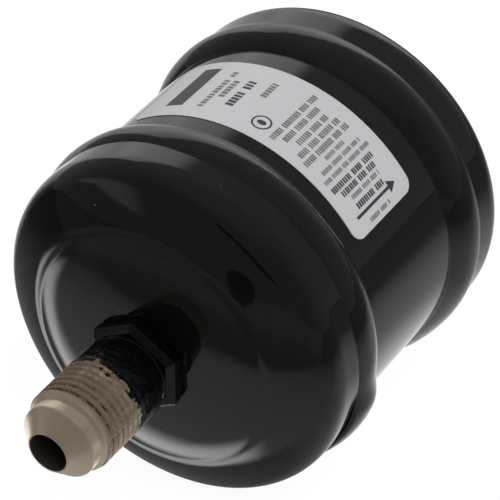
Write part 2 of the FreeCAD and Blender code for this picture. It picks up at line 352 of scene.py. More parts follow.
def thread_dirt_and_shade(recipe, size, along, radius, z, cloud, blotch):
    """Grime by depth under the crests and stains in streaks, both with painted shade on the upper side.
    """
    depth = (size.thread_radius - radius) / MM
    in_thread = along.ramp(size.thread_end + 0.5 * MM, size.thread_end - 0.4 * MM)
    first = along.ramp(size.thread_end - first_turns[0], size.thread_end - first_turns[1])
    # Painted shade: the thread's upper side is made darker, in the grime and in the stains alike.
    upper_shade = z.ramp(*shaded_upper_side)
    streak = recipe.noise(recipe.stretched(recipe.place(), (60.0, 1100.0, 1100.0)), 1.0, 3.0, 0.6)
    patchy = 0.20 + blotch * 0.8 + streak * 0.4
    favoured_and_shaded = 0.60 + upper_shade * 0.3 + first * 0.25
    grime_and_shade = depth.ramp(*grime_depths) * in_thread * patchy * favoured_and_shaded
    stain_film_and_shade = streak * 0.5 + cloud * 0.4 + upper_shade * (0.28 + first * 0.18)
    stain_and_shade = stain_film_and_shade.ramp(0.36, 0.78) * in_thread * stain_and_shade_share
    return grime_and_shade.maths("MAXIMUM", stain_and_shade).maths("MINIMUM", 1.0)


def make_plated_steel(size):
    recipe = Recipe(f"plated_steel_{size.name}")
    place = recipe.place()
    x, y, z = recipe.parts(place)
    along = x.size()
    radius = (y * y + z * z) ** 0.5
    cloud = recipe.noise(place, 260.0, 3.0)
    blotch = recipe.noise(place, 900.0, 3.0, 0.6)
    lathe = recipe.noise(recipe.stretched(place, (9000.0, 60.0, 60.0)), 1.0, 2.0)

    edge = along + (cloud - 0.5) * spray_raggedness * 2.0 + (blotch - 0.5) * spray_raggedness * 1.5
    sprayed = edge.ramp(size.spray_limit + 0.25 * MM, size.spray_limit - 0.15 * MM)
    painted_rough = paint_film(recipe, place)[2]
    # Grime and stains in the thread's grooves, with painted shade laid over its upper side.
    dirt_and_shade = thread_dirt_and_shade(recipe, size, along, radius, z, cloud, blotch)
    inside = radius.ramp(size.bore_radius + 0.12 * MM, size.bore_radius + 0.02 * MM)
    bright = recipe.mix(cloud, shade_of(plate_colour), shade_of(plate_colour, 0.82))
    soiled_and_shaded = recipe.mix(dirt_and_shade, bright, shade_of(rust_and_shade_colour))
    hollow = recipe.mix(inside * 0.75, soiled_and_shaded, shade_of(bore_colour))
    shade = recipe.mix(sprayed, hollow, shade_of(cover_paint_colour))
    metal_rough = 0.36 + cloud * 0.12 + dirt_and_shade * 0.4
    rough = metal_rough + (painted_rough + 0.06 - metal_rough) * sprayed
    metallic = (1.0 - sprayed) * (0.9 - dirt_and_shade * 0.7)
    marks = recipe.bump(lathe, 0.006 * MM, 0.6)
    pitted = recipe.bump(blotch * (1.0 - sprayed), 0.03 * MM, 0.5, marks)
    coated = recipe.bump(sprayed + blotch * sprayed * 0.9, spray_film, 0.8, pitted)
    return recipe.finish(Base_Color=shade, Roughness=rough, Metallic=metallic, Normal=coated,
                         Specular_IOR_Level=cover_paint_specular)


def make_filler():
    """The ring of filler metal under thin, dull paint."""
    recipe = Recipe("painted_filler")
    grain = recipe.noise(recipe.place(), 2400.0, 2.0)
    shade = recipe.mix(grain, colour(0.0008, 0.0008, 0.0008), colour(0.0016, 0.0016, 0.0016))
    return recipe.finish(Base_Color=shade, Roughness=0.45 + grain * 0.1, Specular_IOR_Level=0.08,
                         Normal=recipe.bump(grain, 0.02 * MM, 0.4))


painted_filler = make_filler()
plated_steel = {size.name: make_plated_steel(size) for size in (inlet, outlet)}
print("plated steel:", len(plated_steel["inlet"].node_tree.nodes), "nodes each")

# %% [markdown]
# The label is a coated paper with a satin face, printed in a dark and a pale grey. Its fibres show
# only as a slight unevenness. The print is thin plates of ink, so the ink needs no mask, just a
# matt grey that the press laid down a little unevenly.

# %% Label paper and ink
def make_label_paper():
    recipe = Recipe("label_paper")
    place = recipe.place()
    cloud = recipe.noise(place, 90.0, 3.0)
    fibre = recipe.noise(place, 2600.0, 3.0, 0.7)
    shade = recipe.mix(cloud, colour(0.565, 0.555, 0.575), colour(0.535, 0.53, 0.55))
    normal = recipe.bump(fibre, 0.01 * MM, 0.25)
    return recipe.finish(Base_Color=shade, Roughness=0.36 + fibre * 0.14, Normal=normal,
                         Specular_IOR_Level=0.3)


def make_ink(name, dark, pale):
    recipe = Recipe(name)
    place = recipe.place()
    press = recipe.noise(place, 1500.0, 3.0, 0.7)
    shade = recipe.mix(press, shade_of(dark), shade_of(pale))
    return recipe.finish(Base_Color=shade, Roughness=0.42 + press * 0.15, Specular_IOR_Level=0.3)


label_paper = make_label_paper()
label_ink = make_ink("label_ink", (0.025, 0.025, 0.028), (0.065, 0.065, 0.07))
pale_ink = make_ink("label_pale_ink", (0.10, 0.10, 0.105), (0.20, 0.20, 0.205))

# %% [markdown]
# The pieces inside the drum are never seen in a whole part, yet they are there when someone takes
# it apart, so each has its finish: drawn wire, pressed steel with its rolling lines, woven cloth,
# glass fibre, felt and the porous moulded block.

# %% Finishes of the inner pieces
wire_spacing = 0.5 * MM


def make_steel(name, tint, stretch, roughness):
    """Steel with a fine grain, which unequal stretch factors draw out into lines."""
    recipe = Recipe(name)
    place = recipe.place()
    drawn = recipe.noise(recipe.stretched(place, stretch), 1.0, 3.0)
    cloud = recipe.noise(place, 150.0, 2.0)
    shade = recipe.mix(cloud, shade_of(tint), shade_of(tint, 0.8))
    normal = recipe.bump(drawn, 0.01 * MM, 0.5)
    return recipe.finish(Base_Color=shade, Roughness=roughness + drawn * 0.15, Metallic=1.0,
                         Normal=normal)


def make_fibres(name, tint, scale, depth):
    """Matt fibres: two noises at different stretch laid over each other."""
    recipe = Recipe(name)
    place = recipe.place()
    one = recipe.noise(recipe.stretched(place, (scale, scale * 0.15, scale)), 1.0, 3.0, 0.7)
    two = recipe.noise(recipe.stretched(place, (scale, scale, scale * 0.15)), 1.0, 3.0, 0.7)
    fibre = (one + two) * 0.5
    shade = recipe.mix(fibre.ramp(0.3, 0.7), shade_of(tint, 0.6), shade_of(tint))
    return recipe.finish(Base_Color=shade, Roughness=0.9, Normal=recipe.bump(fibre, depth, 0.9))


def make_wire_cloth():
    """Woven wire: two crossed waves, each wire rising where the other dips; painted shade in the gaps.
    """
    recipe = Recipe("wire_cloth")
    y, z = recipe.parts(recipe.place())[1:]
    radians_per_metre = 2.0 * math.pi / wire_spacing
    warp = (y * radians_per_metre).maths("SINE")
    weft = (z * radians_per_metre).maths("SINE")
    cross = warp * weft
    wires = warp.maths("MAXIMUM", weft)
    # Painted shade: the gaps between the wires are nearly black, and the wires are lighter.
    shade = recipe.mix(wires.ramp(-0.1, 0.6), colour(0.05, 0.05, 0.05), colour(0.55, 0.55, 0.53))
    normal = recipe.bump(wires + cross * 0.3, 0.12 * MM, 0.9)
    return recipe.finish(Base_Color=shade, Roughness=0.35 + cross * 0.05, Metallic=1.0, Normal=normal)


def make_moulded_desiccant():
    """Porous block: pale grains of two sizes, with painted shade towards their edges and in the pores.
    """
    recipe = Recipe("moulded_desiccant")
    place = recipe.place()
    grains = recipe.add("ShaderNodeTexVoronoi", inputs={"Vector": place, "Scale": 1300.0})
    beads = recipe.add("ShaderNodeTexVoronoi", inputs={"Vector": place, "Scale": 600.0})
    cloud = recipe.noise(place, 80.0, 3.0)
    # Painted shade: each grain is pale in its middle and darker brown towards its edges, where the pores
    # lie.
    shade = recipe.mix(grains.ramp(0.0, 0.7), colour(0.70, 0.65, 0.55), colour(0.42, 0.36, 0.28))
    mottled = recipe.mix(cloud * 0.5, shade, colour(0.60, 0.50, 0.38))
    height = 1.0 - grains * 0.6 - beads * 0.7
    return recipe.finish(Base_Color=mottled, Roughness=0.92, Normal=recipe.bump(height, 0.25 * MM, 0.9))


inner_finishes = {
    "holding_spring": make_steel("spring_steel", (0.36, 0.36, 0.37), (400.0, 400.0, 400.0), 0.28),
    "spring_plate": make_steel("pressed_steel", (0.5, 0.5, 0.5), (300.0, 300.0, 6000.0), 0.32),
    "inlet_filter_pad": make_fibres("glass_fibre_pad", (0.82, 0.76, 0.48), 3000.0, 0.3 * MM),
    "desiccant_core": make_moulded_desiccant(),
    "core_gasket": make_fibres("felt", (0.72, 0.70, 0.64), 4200.0, 0.2 * MM),
    "outlet_screen": make_wire_cloth(),
}
inner_finishes["outlet_plate"] = inner_finishes["spring_plate"]
inner_finishes["outlet_filter_pad"] = inner_finishes["inlet_filter_pad"]


def cover(piece, material):
    """Give a piece one material in every slot."""
    slots = piece.data.materials
    if len(slots) == 0:
        slots.append(material)
    for index in range(len(slots)):
        slots[index] = material


for node, material in inner_finishes.items():
    cover(frame["nodes"][node], material)
for node in ("inlet_braze_ring", "outlet_braze_ring"):
    cover(frame["nodes"][node], painted_filler)
print("inner pieces finished:", len(inner_finishes))

# %% [markdown]
# Every surface below starts as a grid of points, mostly rows along a profile and columns round the
# axis. `grid_faces` joins neighbours, and the last row or column to the first where the surface
# closes on itself. `make_piece` measures the volume that the faces enclose and turns them over if it
# comes out negative, so normals point outwards.

# %% Grid surfaces
sharp_angle = math.radians(32.0)
same_point = 1e-7


def grid_faces(rows, columns, close_rows, close_columns):
    """Corner numbers of the quads between neighbouring rows and columns."""
    row = np.arange(rows if close_rows else rows - 1)
    column = np.arange(columns if close_columns else columns - 1)
    i, j = np.meshgrid(row, column, indexing="ij")
    next_i, next_j = (i + 1) % rows, (j + 1) % columns
    corners = (i * columns + j, i * columns + next_j, next_i * columns + next_j, next_i * columns + j)
    return np.stack(corners, axis=-1).reshape(-1, 4)


def enclosed_volume(points, faces):
    """Sum of the signed tetrahedra from the origin to each half of each quad."""
    a, b, c, d = (points[faces[:, k]] for k in range(4))
    halves = (np.einsum("ij,ij->i", a, np.cross(*pair)) for pair in ((b, c), (c, d)))
    return sum(halves).sum() / 6


def make_piece(name, points, faces, material):
    """A smooth mesh with sharp edges where faces meet at a steep angle."""
    points = points.reshape(-1, 3)
    if enclosed_volume(points, faces) < 0:
        faces = faces[:, ::-1]
    mesh = bpy.data.meshes.new(name)
    mesh.from_pydata(points, [], faces)
    mesh.polygons.foreach_set("use_smooth", np.ones(len(faces), dtype=bool))
    mesh.set_sharp_from_angle(angle=sharp_angle)
    mesh.materials.append(material)
    mesh.validate()
    print(f"{name}: {len(points)} points, {len(faces)} faces")
    return add_object(name, mesh)


def make_closed(name, points, material):
    """A piece from a grid of points that closes on itself both ways."""
    return make_piece(name, points, grid_faces(*points.shape[:2], True, True), material)


def arc(centre, radius, start, end, steps):
    """Points on a circle in the plane of X and radius; angles in degrees from the X axis."""
    turn = np.radians(np.linspace(start, end, steps))
    return np.stack([centre[0] + radius * np.cos(turn), centre[1] + radius * np.sin(turn)], axis=-1)


def run(start, end, steps):
    """Evenly spaced points on a straight line."""
    return np.linspace(start, end, steps)


def closed(*stretches):
    """One closed outline from stretches, without the points that repeat where they meet."""
    outline = np.concatenate(stretches)
    step = np.linalg.norm(outline - np.roll(outline, 1, axis=0), axis=1)
    return outline[step > same_point]


def turned(outline, turns, swell=0.0):
    """Carry an outline of (x, radius) round the X axis; swell is added to the radius, row by column."""
    radius = outline[:, 1][:, None] + swell
    x = np.broadcast_to(outline[:, 0][:, None], radius.shape)
    return np.stack([x, radius * np.cos(turns), radius * np.sin(turns)], axis=-1)


def full_turn(count):
    return np.arange(count) * (2.0 * math.pi / count)


def turned_about(points):
    """The same surface for the inlet end: half a turn about the vertical axis."""
    return points * np.array([-1.0, -1.0, 1.0])


# %% [markdown]
# Sheet metal that has been drawn, welded and painted is never a true cylinder, and a mirror finish
# shows it. `swells` is a sum of fourteen cosine waves round and along the drum, with seeded
# directions and phases. A hundredth of a millimetre is enough to bend a reflection.

# %% Slow waves in the metal
wave_count = 14


def swells(x, turns, seed, height, waves_round, wave_length):
    """Sum of cosines: waves_round limits the waves in a turn, wave_length is the shortest along X."""
    chance = np.random.default_rng(seed)
    total = 0.0
    for _ in range(wave_count):
        around = chance.integers(0, waves_round + 1)
        along = chance.uniform(-1.0, 1.0) * 2.0 * math.pi / wave_length
        phase = chance.uniform(0.0, 2.0 * math.pi)
        total = total + np.cos(around * turns + along * x + phase)
    return height * total / math.sqrt(wave_count)


# %% [markdown]
# Shell and caps are closed sections carried round the axis, the inner wall included. The press left
# a shallow ring between the cap's dome and its rim, less than a millimetre off the solid's plain
# sphere, and the gloss shows it as a dark line with a bright one beside it. A profile like that is
# easiest to write as a slope: how many degrees the surface leans at a few radii, in millimetres.
# Summing the slope from the rim inwards gives the stations along X, and one factor makes the sum end
# on the seat.

# %% Shell and caps
round_steps = 288
skirt_steps = 14
shoulder_steps = 40
dome_steps = 150
rim_lean = 34.0
lean_radii = [9.0, 18.0, 22.3, 23.1, 24.5]
lean_angles = [5.0, 11.5, 20.5, 10.5, 22.0]
cap_wave = 0.02 * MM
still_rim = 3 * MM
wave_fade = 12 * MM


def make_shell():
    inner = shell_radius - shell_wall
    outline = closed(run((-shell_end, shell_radius), (shell_end, shell_radius), 90),
                     run((shell_end, shell_radius), (shell_end, inner), 3),
                     run((shell_end, inner), (-shell_end, inner), 12),
                     run((-shell_end, inner), (-shell_end, shell_radius), 3))
    turns = full_turn(round_steps)
    outer = (outline[:, 1] > shell_radius - 0.1 * MM)[:, None]
    wave = swells(outline[:, :1], turns, seed=3, height=0.009 * MM, waves_round=5, wave_length=60 * MM)
    points = turned(outline, turns, np.minimum(np.where(outer, wave, 0.0), 0.0))
    return make_closed("painted_shell", points, black_paint)


shoulder_centre_radius = skirt_radius - shoulder_radius
dome_centre = cap_seat - math.sqrt(dome_radius ** 2 - seat_radius ** 2)
shoulder_x = dome_centre + math.sqrt((dome_radius - shoulder_radius) ** 2 - shoulder_centre_radius ** 2)
shoulder_turn = math.degrees(math.atan2(shoulder_centre_radius, shoulder_x - dome_centre))


def dome_profile():
    """Stations and radii from the rim inwards: the lean at each radius, summed as a slope."""
    rim = (shoulder_x + shoulder_radius * math.cos(math.radians(rim_lean)),
           shoulder_centre_radius + shoulder_radius * math.sin(math.radians(rim_lean)))
    radius = np.linspace(rim[1], seat_radius, dome_steps)
    lean = np.interp(radius / MM, lean_radii + [rim[1] / MM], lean_angles + [rim_lean])
    slope = np.tan(np.radians(lean))
    rise = np.cumsum((slope[1:] + slope[:-1]) / 2 * (radius[:-1] - radius[1:]))
    rise = np.append(0.0, rise) * (cap_seat - rim[0]) / rise[-1]
    return np.stack([rim[0] + rise, radius], axis=-1)


def cap_outline(hole_radius):
    """Skirt, shoulder, dome and seat outside, and the same inside at the wall's thickness."""
    skirt_inner = skirt_radius - cap_wall
    inner_seat = cap_seat - cap_wall
    inner_turn = math.degrees(math.acos((inner_seat - dome_centre) / (dome_radius - cap_wall)))
    shoulder = (shoulder_x, shoulder_centre_radius)
    return closed(run((cap_lip, skirt_radius), (shoulder_x, skirt_radius), skirt_steps),
                  arc(shoulder, shoulder_radius, 90, rim_lean, shoulder_steps),
                  dome_profile(),
                  run((cap_seat, seat_radius), (cap_seat, hole_radius), 8),
                  run((cap_seat, hole_radius), (inner_seat, hole_radius), 3),
                  arc((dome_centre, 0), dome_radius - cap_wall, inner_turn, shoulder_turn, 16),
                  arc(shoulder, shoulder_radius - cap_wall, shoulder_turn, 90, 8),
                  run((shoulder_x, skirt_inner), (cap_lip, skirt_inner), 4),
                  run((cap_lip, skirt_inner), (cap_lip, skirt_radius), 3))


def make_cap(name, seed, hole_radius, place=lambda points: points):
    """Waves only on the outer face, where the profile's first rows lie, and none near the seat."""
    outline = cap_outline(hole_radius)
    turns = full_turn(round_steps)
    repeated_points = 2
    outer_rows = skirt_steps + shoulder_steps + dome_steps - repeated_points
    outer = (np.arange(len(outline)) < outer_rows)[:, None]
    fade = np.clip((outline[:, 1:] - seat_radius - still_rim) / wave_fade, 0.0, 1.0)
    along = outline[:, :1] + 0.7 * outline[:, 1:]
    wave = swells(along, turns, seed, cap_wave, waves_round=6, wave_length=40 * MM)
    swell = np.where(outer, np.minimum(wave - cap_wave, 0.0) * fade, 0.0)
    return make_closed(name, place(turned(outline, turns, swell)), black_paint)


shell = make_shell()
outlet_cap = make_cap("painted_outlet_cap", 11, outlet.spigot_radius)
inlet_cap = make_cap("painted_inlet_cap", 12, inlet.spigot_radius, turned_about)

# %% [markdown]
# Each cap is welded to the shell with one bead over its lip. The solid is a smooth crowned ring. The
# real bead froze in small waves that lag behind the torch, swells and narrows as the hand wandered,
# and has one thick place where its end ran over its start. Paint then filled its two feet, so they
# are small hollow curves and not corners. The bead is a closed outline, crown and feet and
# underside, with a height map over the crown that fades out over the feet.

# %% Seam welds
bead_steps = 900
foot_steps = 9
crown_steps = 40
crown_radius = 6.5 * MM
crown_setback = 0.2 * MM
crown_x = cap_lip + crown_setback
crown_centre = crest_radius - crown_radius
foot_radius = 0.55 * MM
ripple_length = 2.4 * MM
ripple_height = 0.006 * MM
ripple_lag = 1.6 * MM
bead_sink = 0.13 * MM
overlap_height = 1.15 * MM
overlap_ahead = math.radians(6.0)
overlap_behind = math.radians(19.0)
even_along = 900.0


def hollow_foot(base_radius, side):
    """Centre of the small circle that touches the crown outside and the wall at base_radius."""
    rise = base_radius + foot_radius - crown_centre
    away = math.sqrt((crown_radius + foot_radius) ** 2 - rise ** 2)
    return crown_x + side * away, base_radius + foot_radius


def bead_outline():
    """Foot on the shell, crown, foot on the skirt, and the underside along the lip."""
    toe = hollow_foot(shell_radius, -1)
    heel = hollow_foot(skirt_radius, 1)
    toe_turn = math.degrees(math.atan2(toe[1] - crown_centre, toe[0] - crown_x))
    heel_turn = math.degrees(math.atan2(heel[1] - crown_centre, heel[0] - crown_x))
    return closed(arc(toe, foot_radius, 270, 180 + toe_turn, foot_steps),
                  arc((crown_x, crown_centre), crown_radius, toe_turn, heel_turn, crown_steps),
                  arc(heel, foot_radius, 180 + heel_turn, 270, foot_steps),
                  run((heel[0], skirt_radius), (cap_lip, skirt_radius), 4),
                  run((cap_lip, skirt_radius), (cap_lip, shell_radius), 3),
                  run((cap_lip, shell_radius), (toe[0], shell_radius), 4))


def bead_heights(across, turns, seed, overlap_turn):
    """Height over crown and feet: lagging ripples, slow swells and one thick overlap, faded out.

    across goes from -1 to 1 over the bead. A wave as long as even_along doesn't change along X.
    """
    arc_length = turns * crest_radius
    lag = ripple_lag * across ** 2
    drift = swells(across * MM, turns, seed, height=0.5, waves_round=19, wave_length=even_along)
    ripple = np.cos((arc_length + lag) * 2.0 * math.pi / ripple_length + 2.2 * drift)
    patch = swells(across * MM, turns, seed + 1, height=0.7, waves_round=9, wave_length=even_along)
    swell = swells(across * 2 * MM, turns, seed + 2, 0.04 * MM, waves_round=22, wave_length=4 * MM)
    slow = swells(across * MM, turns, seed + 3, 0.06 * MM, waves_round=5, wave_length=even_along)
    away = (turns - overlap_turn + math.pi) % (2.0 * math.pi) - math.pi
    width = np.where(away > 0.0, overlap_ahead, overlap_behind)
    overlap = overlap_height * np.exp(-(away / width) ** 2)
    ripples = ripple_height * ripple * np.clip(patch, 0.0, 1.0)
    return (ripples + swell + slow - bead_sink + overlap) * (1.0 - across ** 4)


def make_bead(name, seed, overlap_degrees, place=lambda points: points):
    outline = bead_outline()
    turns = full_turn(bead_steps)
    repeated_points = 2
    across = np.linspace(-1.0, 1.0, foot_steps + crown_steps + foot_steps - repeated_points)[:, None]
    height = np.zeros((len(outline), bead_steps))
    height[:len(across)] = bead_heights(across, turns, seed, math.radians(overlap_degrees))
    return make_closed(name, place(turned(outline, turns, height)), black_paint)


inlet_bead = make_bead("inlet_weld_bead", 31, 345.0, turned_about)
outlet_bead = make_bead("outlet_weld_bead", 41, 250.0)

# %% [markdown]
# A flare fitting is turned from hexagon bar. It could be a revolved body joined to a prism, but one
# surface is simpler to keep closed: at every station along X the outline is a radius for each angle.
# Round stretches have the same radius all round, the hexagon's grows towards its corners, and the
# thread's depends on the station and the angle together, which is all that a helix is.

# %% Flare fittings
collar_length = 0.4 * MM
corner_round = 0.8 * MM
hexagon_length = 3.1 * MM
front_chamfer = 0.9 * MM
front_chamfer_length = 1.3 * MM
rear_chamfer = 0.35 * MM
edge_break = 0.08 * MM
front_break = 0.05 * MM
spigot_chamfer = 0.5 * MM
neck_fillet = 0.25 * MM
nose_lip = 0.25 * MM
seat_break = 0.06 * MM
thread_depth_share = 0.27
crest_share = 0.36
root_share = 0.9
runout_slope = 1.4
paint_fill = 0.995
fill_reach = 1.6 * MM
fill_length = 2.4 * MM
rings_per_pitch = 14
sector_steps = 32


def fitting_turns():
    """Angles crowded towards the six corners, which point up, down and 30 degrees off level."""
    t = np.linspace(-1.0, 1.0, sector_steps, endpoint=False)
    sector = math.radians(30.0) * np.sign(t) * np.abs(t) ** 1.5
    return np.concatenate([sector + math.radians(90.0 + 60.0 * side) for side in range(6)])


def hexagon_radius(turns, flat):
    """Polar form of a hexagon with rounded corners: an arc near each corner, else flat / cosine."""
    half_side = math.radians(30.0)
    off_corner = np.abs((turns - math.radians(90.0) + half_side) % math.radians(60.0) - half_side)
    centre = (flat - corner_round) / math.cos(half_side)
    limit = math.atan2(corner_round * 0.5, centre + corner_round * math.cos(half_side))
    inside = np.maximum(corner_round ** 2 - (centre * np.sin(off_corner)) ** 2, 0.0)
    rounded = centre * np.cos(off_corner) + np.sqrt(inside)
    return np.where(off_corner < limit, rounded, flat / np.cos(half_side - off_corner))


def smooth(share):
    """Smooth step: level at both ends and steepest in the middle."""
    return share * share * (3.0 - 2.0 * share)


def thread_rings(size, turns):
    """Right-hand V thread with flat crests: depth is a clipped triangle wave of station and angle.

    Paint fills the grooves up to where the spray ended. The lead-in cone and the neck cut it off.
    """
    count = int(round((size.thread_length + lead_chamfer) / size.pitch * rings_per_pitch))
    x = np.linspace(size.thread_start, size.thread_end + lead_chamfer, count)[:, None]
    wave = ((x - size.thread_start) / size.pitch - turns / (2.0 * math.pi)) % 1.0
    triangle = 1.0 - np.abs(2.0 * wave - 1.0)
    depth = smooth(np.clip((triangle - crest_share) / (root_share - crest_share), 0.0, 1.0))
    bare = smooth(np.clip((x - size.spray_limit + fill_reach) / fill_length, 0.0, 1.0))
    depth = depth * (1.0 - paint_fill * (1.0 - bare))
    wear = swells(x, turns, seed=7, height=0.03 * MM, waves_round=11, wave_length=3 * MM)
    cut = size.thread_radius - depth * thread_depth_share * size.pitch + np.minimum(wear, 0.0)
    lead = np.clip(size.thread_radius - (x - size.thread_end), size.land_radius, None)
    tail = size.neck_radius + np.clip(x - size.thread_start, 0.0, None) * runout_slope
    return x[:, 0], np.minimum(np.minimum(cut, lead), tail)


def rear_rings(size, turns):
    """From the bore's inner end out over spigot, collar and hexagon to the start of the thread."""
    corner = hexagon_radius(turns, size.flat_radius)
    rear_limit = size.corner_radius - rear_chamfer
    front_flat = size.flat_radius - front_chamfer
    start = cap_seat + collar_length
    end = start + hexagon_length
    straight = end - front_chamfer_length - start - rear_chamfer
    return [
        (size.spigot_end, size.bore_radius),
        (size.spigot_end, size.spigot_radius - spigot_chamfer),
        (size.spigot_end + spigot_chamfer, size.spigot_radius),
        (cap_seat, size.spigot_radius),
        (cap_seat, size.collar_radius),
        (start, size.collar_radius),
        (start, np.minimum(corner, rear_limit) - edge_break),
        (start + edge_break, np.minimum(corner, rear_limit + edge_break)),
        (start + rear_chamfer, corner),
        (start + rear_chamfer + 0.5 * straight, corner),
        (start + rear_chamfer + straight, corner),
        (end - front_break, hexagon_radius(turns, front_flat)),
        (end, hexagon_radius(turns, front_flat - edge_break)),
        (end, size.neck_radius + neck_fillet),
        (end + neck_fillet, size.neck_radius),
        (size.thread_start, size.neck_radius),
    ]


def nose_rings(size):
    """From the thread's end over the land and down the 45 degree seat, then back along the bore."""
    cone_start = size.thread_end + lead_chamfer + size.land_length
    cone_end = size.bore_radius + nose_lip
    land = [(cone_start - size.land_length * (1.0 - share), size.land_radius)
            for share in np.linspace(0.15, 0.9, 6)]
    crown = [(cone_start - 2 * seat_break, size.land_radius - 0.01 * MM),
             (cone_start, size.land_radius - seat_break)]
    cone = [(cone_start + share * (size.mouth - cone_start),
             size.land_radius + share * (cone_end - size.land_radius))
            for share in np.linspace(0.03, 0.97, 14)]
    lip = [(size.mouth, cone_end - front_break),
           (size.mouth, size.bore_radius + seat_break),
           (size.mouth - seat_break, size.bore_radius)]
    bore = [(size.mouth + share * (size.spigot_end - size.mouth), size.bore_radius)
            for share in np.linspace(0.05, 0.95, 10)]
    return land + crown + cone + lip + bore


def make_fitting(size, place=lambda points: points):
    """A ring at each station, from the bore's inner end over the outside and back along the bore."""
    turns = fitting_turns()
    thread = list(zip(*thread_rings(size, turns)))[1:]
    rings = rear_rings(size, turns) + thread + nose_rings(size)
    axis = np.array([(x, 0.0) for x, radius in rings])
    radii = np.array([radius * np.ones_like(turns) for x, radius in rings])
    points = place(turned(axis, turns, radii))
    return make_closed(f"{size.name}_flare_fitting", points, plated_steel[size.name])


inlet_fitting = make_fitting(inlet, turned_about)
outlet_fitting = make_fitting(outlet)

# %% [markdown]
# The label is a sheet wrapped on the shell. Its own flat plane has two coordinates: x along the drum
# and v, the length round it, counted from the side that faces -Y up over the top. Both the sheet and
# its print are thin plates over areas of that plane, so one function serves: it lifts a grid of
# (x, v) to two radii and closes the rim. The sheet's lower end stops about 1.6 mm short of the
# solid's. The print is plain: in dark ink a solid block, four rows of small blocks, a ring with a
# dot and an arrow along the flow, and in pale ink the other rows.

# %% Label and print
label_middle_x = -0.6 * MM
label_width = 18.9 * MM
label_start = math.radians(34.4)
label_turn = math.radians(128.5) - label_start
label_corner = 2.3 * MM
label_thickness = reach("label") - shell_radius
label_skew = 0.026
ink_thickness = 0.012 * MM
corner_steps = 12
sheet_rows = 120
sheet_columns = 25
block_columns = 6
sheet_middle_v = (label_start + label_turn / 2) * shell_radius


def plates(x, v, low, high):
    """Closed thin plates from grids of (x, v), shaped plates by rows by columns, between two radii."""
    count, rows, columns = x.shape
    x = x + label_skew * (v - sheet_middle_v)
    turn = v / shell_radius
    layers = [np.stack([x, -radius * np.cos(turn), radius * np.sin(turn)], axis=-1)
              for radius in (high, low)]
    points = np.stack(layers, axis=1).reshape(-1, 3)
    cell = rows * columns
    top = grid_faces(rows, columns, False, False)
    numbers = np.arange(cell).reshape(rows, columns)
    rim = np.concatenate([numbers[0, :], numbers[1:, -1], numbers[-1, -2::-1], numbers[-2:0:-1, 0]])
    after = np.roll(rim, -1)
    side = np.stack([rim, rim + cell, after + cell, after], axis=-1)
    one = np.concatenate([top, top[:, ::-1] + cell, side])
    return points, (one[None] + np.arange(count)[:, None, None] * 2 * cell).reshape(-1, 4)


def make_label_sheet():
    """Width narrows towards both ends by the corner's circle, which rounds the four corners."""
    length = label_turn * shell_radius
    bend = label_corner * (1.0 - np.cos(np.linspace(0.0, math.pi / 2, corner_steps)))
    middle = np.linspace(label_corner, length - label_corner, sheet_rows)[1:-1]
    v = np.concatenate([bend, middle, (length - bend)[::-1]])
    end = np.clip(label_corner - np.minimum(v, length - v), 0.0, label_corner)
    half = label_width / 2 - label_corner + np.sqrt(label_corner ** 2 - end ** 2)
    share = np.linspace(-1.0, 1.0, sheet_columns)
    x = label_middle_x + share[None, :] * half[:, None]
    lengthwise = np.broadcast_to(v[:, None] + label_start * shell_radius, x.shape)
    points, faces = plates(x[None], lengthwise[None], shell_radius, shell_radius + label_thickness)
    return make_piece("wrapped_label", points, faces, label_paper)


# Each row of blocks has its left end, right end, place round the drum, height and pitch, and each
# plain box its left, right, lower and upper edge, all in millimetres.
dark_boxes_alone = [(-6.6, 6.4, 61.5, 65.3), (-7.0, 3.8, 21.95, 22.5)]
dark_rows = [
    (-4.6, 4.1, 53.0, 1.6, 0.95), (-8.0, 5.3, 28.4, 1.1, 0.6), (-6.6, 3.9, 26.9, 1.1, 0.6),
    (-5.4, 3.0, 23.7, 1.1, 0.62),
]
pale_rows = [
    (-6.6, 5.9, 57.7, 1.1, 0.95), (-2.7, 3.5, 55.8, 1.2, 0.95), (0.5, 4.9, 49.2, 1.2, 0.8),
    (-7.8, 6.6, 42.2, 1.15, 0.56), (-6.6, 4.7, 40.3, 1.15, 0.56), (-5.3, 4.0, 38.3, 1.15, 0.56),
    (-7.5, 5.2, 36.5, 1.15, 0.56), (-8.2, 5.6, 34.8, 1.15, 0.56), (-3.8, 2.1, 33.2, 0.8, 0.42),
    (-6.9, 5.2, 31.7, 0.8, 0.42), (-8.1, 6.4, 30.2, 0.8, 0.42), (-5.2, 4.0, 25.4, 0.8, 0.45),
    (-4.4, 1.9, 20.35, 0.8, 0.5),
]


def row_blocks(start, end, v, height, pitch, chance):
    """Blocks of uneven width along one row, parted into groups by leaving one out here and there."""
    count = int(round((end - start) / pitch))
    left = start + pitch * np.arange(count)
    width = pitch * chance.uniform(0.6, 0.82, count)
    group_ends = np.cumsum(chance.integers(5, 11, count))
    kept = ~np.isin(np.arange(count), group_ends)
    low, high = np.full(count, v - height / 2), np.full(count, v + height / 2)
    return np.stack([left, left + width, low, high])[:, kept].T


def block_grids(boxes):
    """Each box (left, right, low, high) as a grid of two rows of points."""
    x = np.stack([boxes[:, 0], boxes[:, 1]], axis=1)[:, :, None]
    share = np.linspace(0.0, 1.0, block_columns)
    v = boxes[:, 2][:, None, None] + (boxes[:, 3] - boxes[:, 2])[:, None, None] * share
    shape = (len(boxes), 2, block_columns)
    return np.broadcast_to(x, shape) * MM, np.broadcast_to(v, shape) * MM


